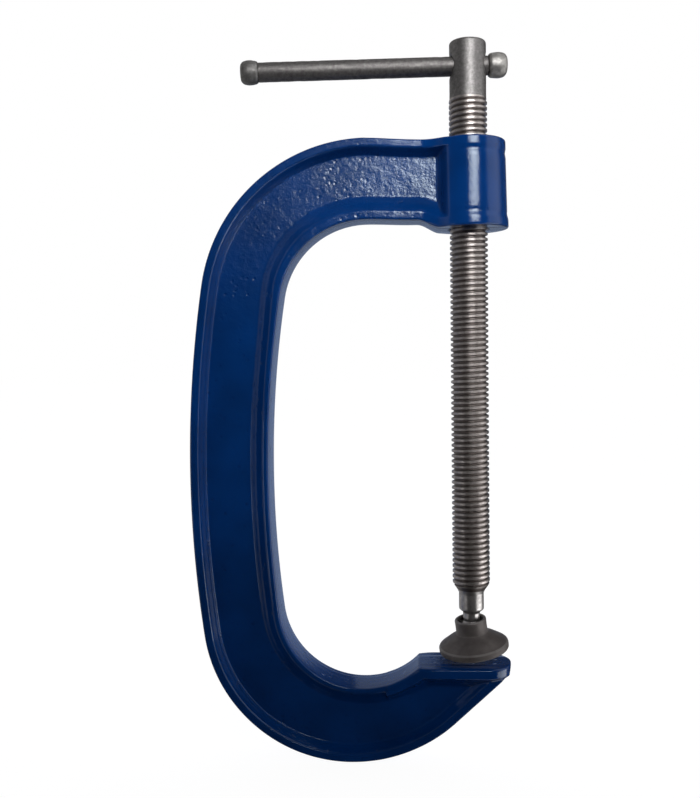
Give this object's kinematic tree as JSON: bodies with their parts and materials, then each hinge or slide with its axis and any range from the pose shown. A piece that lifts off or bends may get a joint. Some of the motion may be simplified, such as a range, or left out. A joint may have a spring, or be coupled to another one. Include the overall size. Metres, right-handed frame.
{
  "type": "g-clamp",
  "caption": "Cast-frame G-clamp with an I-section spine, a screw with a swivel pad on its ball end and a sliding tommy bar.",
  "frame": {"origin": "point on the anvil's working face where the screw's axis meets it", "axes": "+Z along the screw's axis from the anvil to the head; the spine lies towards -X; +Y is the far side of the clamp"},
  "size_m": [0.1636, 0.0398, 0.3649],
  "materials": {
    "frame_enamel": "glossy blue enamel over sand-cast iron",
    "screw_steel": "rolled thread, bare oiled steel",
    "pad_steel": "dark phosphated steel, satin",
    "ring_steel": "spring steel",
    "bar_steel": "forged mill-scale steel, rubbed",
    "knob_steel": "forged mill-scale steel, rubbed"
  },
  "bodies": {
    "frame": {"frame": "frame_enamel"},
    "ring": {"retaining_ring": "ring_steel"},
    "screw": {"screw": "screw_steel"},
    "bar": {"tommy_bar": "bar_steel", "near_knob": "knob_steel", "far_knob": "knob_steel"},
    "pad": {"swivel_pad": "pad_steel"}
  },
  "joints": [
    {"name": "screw_travel", "type": "slide", "parent": "frame", "child": "ring", "axis": [0, 0, 1], "range_m": [-0.0025, 0.1971]},
    {"name": "screw_turn", "type": "hinge", "parent": "ring", "child": "screw", "pos_m": [0, 0, 0.0168], "axis": [0, 0, 1], "range_deg": [-333, 26280]},
    {"name": "bar_slide", "type": "slide", "parent": "screw", "child": "bar", "axis": [0.9942, 0.1045, 0.0244], "range_m": [-0.00075, 0.0947]},
    {"name": "pad_tilt", "type": "hinge", "parent": "ring", "child": "pad", "pos_m": [0, 0, 0.0168], "axis": [0.4864, -0.8738, 0], "range_deg": [-18.2, 1.8]}
  ],
  "couplings": [
    {"joint": "screw_travel", "follows": "screw_turn", "m_per_rad": 0.00042972}
  ]
}
